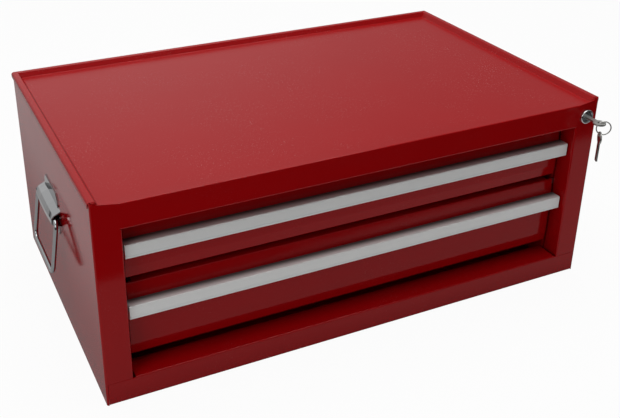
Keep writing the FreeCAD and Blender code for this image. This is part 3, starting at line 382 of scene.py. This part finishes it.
class CHEST_OT_drawers(bpy.types.Operator):
    """Red enamel for the drawer fronts, tubs and backs"""
    bl_idname = "chest.drawers"
    bl_label = "Drawer enamel"

    def execute(self, context):
        finish = context.scene.chest_finish
        red = enamel("Drawer enamel", finish.enamel, finish.enamel_roughness, dust=0.2, ripple=1.0)
        for drawer in DRAWERS:
            dress(red, *[drawer + "_drawer_" + piece for piece in DRAWER_SHEETS])
        return {"FINISHED"}


class CHEST_OT_pulls(bpy.types.Operator):
    """Satin extruded aluminium for the two pulls"""
    bl_idname = "chest.pulls"
    bl_label = "Pulls"

    def execute(self, context):
        finish = context.scene.chest_finish
        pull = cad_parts["upper_pull"].data
        front = min(corner.co.y for corner in pull.vertices)
        metal = pull_metal("Pull aluminium", finish.pull_metal, front)
        for drawer in DRAWERS:
            dress(metal, drawer + "_pull")
        return {"FINISHED"}


class CHEST_OT_slides(bpy.types.Operator):
    """Zinc plate for the ball slides, their rivets and the small fasteners"""
    bl_idname = "chest.slides"
    bl_label = "Slides and fasteners"

    def execute(self, context):
        finish = context.scene.chest_finish
        rolled = drawn_metal("Slide zinc", finish.zinc, 0.3, stretch=(60.0, 1.0, 60.0), fineness=24.0)
        plated = zinc_plate("Fastener zinc", finish.zinc, 0.28)
        dress(plated, "slide_rivets", "lock_nut", "lock_cam", "cam_screw", "lock_bar", "lock_bar_guides")
        for drawer in DRAWERS:
            for member in ("outer", "middle", "inner"):
                dress(rolled, *["%s_%s_slide_%s" % (drawer, member, side) for side in ("right", "left")])
            dress(rolled, drawer + "_outer_ball_cages", drawer + "_inner_ball_cages")
            dress(plated, drawer + "_drawer_rivets", drawer + "_pull_screws", drawer + "_lock_catch")
        return {"FINISHED"}


class CHEST_OT_lock(bpy.types.Operator):
    """Chrome for the lock, and nickel for the keys and their ring"""
    bl_idname = "chest.lock"
    bl_label = "Lock and keys"

    def execute(self, context):
        finish = context.scene.chest_finish
        chrome = bright_plate("Lock chrome", finish.chrome, roughness=0.16, wear=0.1)
        dress(chrome, "lock_housing", "lock_plug")
        nickel = bright_plate("Key nickel", finish.nickel, roughness=0.38, wear=0.15)
        dress(nickel, "key", "key_ring", "spare_key")
        return {"FINISHED"}


class CHEST_OT_handles(bpy.types.Operator):
    """Chrome for the side handles' brackets and bails"""
    bl_idname = "chest.handles"
    bl_label = "Side handles"

    def execute(self, context):
        finish = context.scene.chest_finish
        # Painted shade: the handles use the lock's chrome darkened to 0.55, standing in for the darker
        # surroundings they reflect
        shaded_chrome = [channel * 0.55 for channel in finish.chrome]
        metal = bright_plate("Handle chrome", shaded_chrome, roughness=0.1, wear=0.12)
        dress(metal, "handle_bracket_right", "handle_bracket_left", "handle_bail_right", "handle_bail_left")
        return {"FINISHED"}


class CHEST_OT_studio(bpy.types.Operator):
    """Pale floor, soft lights, world and camera"""
    bl_idname = "chest.studio"
    bl_label = "Studio"

    def execute(self, context):
        studio = context.scene.chest_studio
        self.floor()
        self.world(studio)
        self.lights(studio)
        self.camera(studio)
        context.scene.view_settings.view_transform = "Standard"
        return {"FINISHED"}

    def floor(self):
        shape = bmesh.new()
        bmesh.ops.create_grid(shape, x_segments=2, y_segments=2, size=FLOOR_HALF)
        mesh = bpy.data.meshes.new("studio_floor")
        shape.to_mesh(mesh)
        shape.free()
        obj = bpy.data.objects.new("studio_floor", mesh)
        bpy.context.scene.collection.objects.link(obj)
        material = bpy.data.materials.new("Studio floor")
        g = empty(material)
        place = g.axes(g.node("ShaderNodeTexCoord").outputs["Object"])
        # In the gloss, the floor is grey close in front and dark further on. Behind the chest's front it is
        # paler outwards on the left, and dim further right
        edge = g.math("ADD", g.math("MULTIPLY", place["X"], NEAR_EDGE_SLANT), place["Y"])
        front = g.math("MULTIPLY", g.span(edge, *NEAR_EDGE), NEAR_STRENGTH)
        behind = g.span(place["Y"], *BEHIND_CHEST)
        aside = g.math("MULTIPLY", g.span(place["X"], *PALE_LEFT), g.span(place["X"], *DIMMER_INWARDS))
        shown = g.math("ADD", front, g.math("MULTIPLY", behind, g.math("SUBTRACT", aside, front)))
        mirror = g.node("ShaderNodeEmission")
        g.put(mirror, Color=(1.0, 0.985, 0.985, 1.0), Strength=shown)
        matte = g.node("ShaderNodeBsdfDiffuse")
        g.put(matte, Color=(0.8, 0.8, 0.8, 1.0))
        glow = g.node("ShaderNodeEmission")
        g.put(glow, Color=WHITE, Strength=1.0)
        path = g.node("ShaderNodeLightPath").outputs
        seen = g.blend(FLOOR_GLOW, matte.outputs[0], glow.outputs[0])
        for_camera = g.blend(path["Is Camera Ray"], matte.outputs[0], seen)
        surface = g.blend(path["Is Glossy Ray"], for_camera, mirror.outputs[0])
        g.link(surface, g.node("ShaderNodeOutputMaterial").inputs["Surface"])
        mesh.materials.append(material)

    def world(self, studio):
        world = bpy.data.worlds.new("Studio")
        bpy.context.scene.world = world
        g = empty(world)
        ray = g.axes(g.node("ShaderNodeTexCoord").outputs["Generated"])
        # The room behind the camera is dark. The walls at the sides and back are pale, the right one less so
        walls = g.math("MULTIPLY", g.span(ray["Y"], *ROOM_TO_BACK), g.span(ray["X"], *ROOM_TO_RIGHT))
        upward = g.span(ray["Z"], *ROOM_UPWARD)
        gloss = g.node("ShaderNodeBackground")
        g.put(gloss, Color=WHITE, Strength=g.math("MULTIPLY", walls, upward))
        even = g.node("ShaderNodeBackground")
        g.put(even, Color=WHITE, Strength=studio.fill)
        white = g.node("ShaderNodeBackground")
        g.put(white, Color=WHITE, Strength=1.0)
        path = g.node("ShaderNodeLightPath").outputs
        lit = g.blend(path["Is Glossy Ray"], even.outputs[0], gloss.outputs[0])
        surface = g.blend(path["Is Camera Ray"], lit, white.outputs[0])
        g.link(surface, g.node("ShaderNodeOutputWorld").inputs["Surface"])

    def lights(self, studio):
        for name, place, aim, size, power in (
                ("overhead_softbox", (0.0, 0.2, 2.2), (0.0, 0.2, 0.0), 2.2, studio.top_light),
                ("left_softbox", (-1.1, -0.8, 0.7), (0.0, 0.0, 0.12), 0.6, studio.left_light)):
            lamp = bpy.data.lights.new(name, "AREA")
            lamp.size = size
            lamp.energy = power
            obj = bpy.data.objects.new(name, lamp)
            turn = (Vector(aim) - Vector(place)).to_track_quat("-Z", "Y").to_matrix().to_4x4()
            obj.matrix_world = Matrix.Translation(place) @ turn
            bpy.context.scene.collection.objects.link(obj)

    def camera(self, studio):
        data = bpy.data.cameras.new("photo_camera")
        data.lens = studio.lens
        data.sensor_width = FRAME_WIDTH
        data.sensor_fit = "HORIZONTAL"
        data.shift_x = studio.shift_x
        data.shift_y = studio.shift_y
        data.clip_start = 0.01
        camera = bpy.data.objects.new("photo_camera", data)
        bpy.context.scene.collection.objects.link(camera)
        right = Vector(studio.right).normalized()
        back = -Vector(studio.forward).normalized()
        up = back.cross(right).normalized()
        right = up.cross(back)
        turn = Matrix((right, up, back)).transposed().to_4x4()
        camera.matrix_world = Matrix.Translation(studio.eye) @ turn
        bpy.context.scene.camera = camera


class CHEST_PT_panel(bpy.types.Panel):
    """Lists the chest's finishes and the studio"""
    bl_label = "Tool Chest"
    bl_idname = "CHEST_PT_panel"
    bl_space_type = "VIEW_3D"
    bl_region_type = "UI"
    bl_category = "Tool Chest"

    def draw(self, context):
        for settings in (context.scene.chest_finish, context.scene.chest_studio):
            for name in settings.__annotations__:
                self.layout.prop(settings, name)
        for step in STEPS:
            self.layout.operator(step.bl_idname)


STEPS = (CHEST_OT_effects, CHEST_OT_studio, CHEST_OT_case, CHEST_OT_drawers, CHEST_OT_pulls,
         CHEST_OT_slides, CHEST_OT_lock, CHEST_OT_handles)
CLASSES = (ChestFinish, ChestStudio, *STEPS, CHEST_PT_panel)


def register():
    for item in CLASSES:
        bpy.utils.register_class(item)
    bpy.types.Scene.chest_finish = bpy.props.PointerProperty(type=ChestFinish)
    bpy.types.Scene.chest_studio = bpy.props.PointerProperty(type=ChestStudio)


def unregister():
    del bpy.types.Scene.chest_studio
    del bpy.types.Scene.chest_finish
    for item in reversed(CLASSES):
        bpy.utils.unregister_class(item)


def main():
    register()
    for step in STEPS:
        group, name = step.bl_idname.split(".")
        getattr(getattr(bpy.ops, group), name)()


if __name__ == "__main__":
    main()
